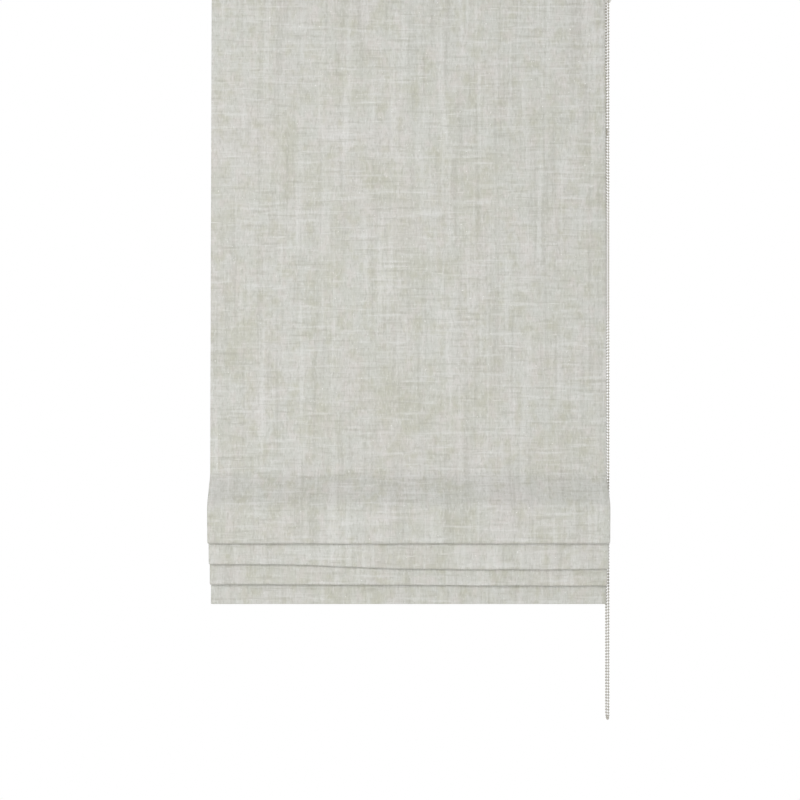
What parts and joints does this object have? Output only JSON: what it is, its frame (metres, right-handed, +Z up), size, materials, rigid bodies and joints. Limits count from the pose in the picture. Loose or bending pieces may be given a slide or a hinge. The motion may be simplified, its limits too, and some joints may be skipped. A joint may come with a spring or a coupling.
{
  "type": "roman blind",
  "caption": "Lined linen roman blind, part raised, with a chain driven headrail, cord drums, back rods, forward folds and a bead chain.",
  "frame": {"origin": "centre of the top face of the two brackets, at the middle of the fabric's width", "axes": "+X along the width to the chain end, the front faces -Y, +Z up"},
  "size_m": [0.814, 0.1, 1.5079],
  "materials": {
    "aluminium_extrusion": "anodised, satin",
    "white_moulding": "moulded nylon, satin",
    "grey_moulding": "moulded acetal",
    "drum_moulding": "moulded acetal, smooth",
    "sprocket_moulding": "moulded nylon",
    "zinc_steel": "zinc plated",
    "latch_moulding": "moulded nylon",
    "hook_tape": "woven nylon",
    "loop_tape": "knitted loops",
    "oatmeal_linen": "slubby plain weave",
    "cotton_lining": "plain cotton sateen",
    "braided_cord": "braided polyester",
    "glass_fibre": "pultruded glass fibre",
    "rod_cap_vinyl": "soft vinyl",
    "clear_guide": "clear polycarbonate",
    "bar_aluminium": "mill finish",
    "bar_cap_vinyl": "soft vinyl",
    "chain_plastic": "moulded acetal beads on polyester cord",
    "connector_plastic": "moulded acetal"
  },
  "bodies": {
    "headrail_assembly": {"headrail": "aluminium_extrusion", "end_cap": "white_moulding", "hook_tape": "hook_tape", "loop_tape": "loop_tape", "face_fabric": "oatmeal_linen", "lining": "cotton_lining", "drum_cradle_left": "grey_moulding", "drum_cradle_middle": "grey_moulding", "drum_cradle_right": "grey_moulding", "lift_cord_left": "braided_cord", "lift_cord_middle": "braided_cord", "lift_cord_right": "braided_cord", "drive_base": "grey_moulding", "drive_cover": "white_moulding", "bead_chain": "chain_plastic", "chain_connector": "connector_plastic", "bracket_left": "zinc_steel", "bracket_right": "zinc_steel", "latch_rivets": "zinc_steel"},
    "axle_assembly": {"axle": "zinc_steel", "cord_turns": "braided_cord", "cord_drum_left": "drum_moulding", "cord_drum_middle": "drum_moulding", "cord_drum_right": "drum_moulding", "chain_sprocket": "sprocket_moulding", "clutch_spring": "zinc_steel", "clutch_hub": "sprocket_moulding", "drive_screw": "zinc_steel"},
    "gathered_stack": {"rod_4": "glass_fibre", "rod_5": "glass_fibre", "rod_6": "glass_fibre", "rod_7": "glass_fibre", "gathered_rod_caps": "rod_cap_vinyl", "gathered_guides": "clear_guide", "cord_toggles": "clear_guide", "bottom_bar": "bar_aluminium", "bottom_bar_caps": "bar_cap_vinyl"},
    "latch_left": {"latch_left": "latch_moulding"},
    "latch_right": {"latch_right": "latch_moulding"},
    "flat_rod_1": {"rod_1": "glass_fibre", "rod_1_caps": "rod_cap_vinyl", "rod_1_guides": "clear_guide"},
    "flat_rod_2": {"rod_2": "glass_fibre", "rod_2_caps": "rod_cap_vinyl", "rod_2_guides": "clear_guide"},
    "flat_rod_3": {"rod_3": "glass_fibre", "rod_3_caps": "rod_cap_vinyl", "rod_3_guides": "clear_guide"}
  },
  "joints": [
    {"name": "lift", "type": "slide", "parent": "headrail_assembly", "child": "gathered_stack", "axis": [0, 0, 1], "range_m": [0, 0.8], "deforming": ["face_fabric", "lining", "lift_cord_left", "lift_cord_middle", "lift_cord_right"]},
    {"name": "axle_spin", "type": "hinge", "parent": "headrail_assembly", "child": "axle_assembly", "pos_m": [0, 0, -0.0195], "axis": [1, 0, 0], "continuous": true},
    {"name": "rod_1_rise", "type": "slide", "parent": "headrail_assembly", "child": "flat_rod_1", "axis": [0, 0, 1], "range_m": [0, 0.073]},
    {"name": "rod_2_rise", "type": "slide", "parent": "headrail_assembly", "child": "flat_rod_2", "axis": [0, 0, 1], "range_m": [0, 0.3156]},
    {"name": "rod_3_rise", "type": "slide", "parent": "headrail_assembly", "child": "flat_rod_3", "axis": [0, 0, 1], "range_m": [0, 0.5583]},
    {"name": "latch_left_turn", "type": "hinge", "parent": "headrail_assembly", "child": "latch_left", "pos_m": [-0.234, 0, -0.005], "axis": [0, 0, 1], "range_deg": [0, 90]},
    {"name": "latch_right_turn", "type": "hinge", "parent": "headrail_assembly", "child": "latch_right", "pos_m": [0.234, 0, -0.005], "axis": [0, 0, -1], "range_deg": [0, 90]}
  ],
  "couplings": [
    {"joint": "axle_spin", "follows": "lift", "rad_per_m": -125},
    {"joint": "rod_1_rise", "follows": "lift", "ratio": 0.089958},
    {"joint": "rod_2_rise", "follows": "lift", "ratio": 0.39331},
    {"joint": "rod_3_rise", "follows": "lift", "ratio": 0.69665}
  ]
}
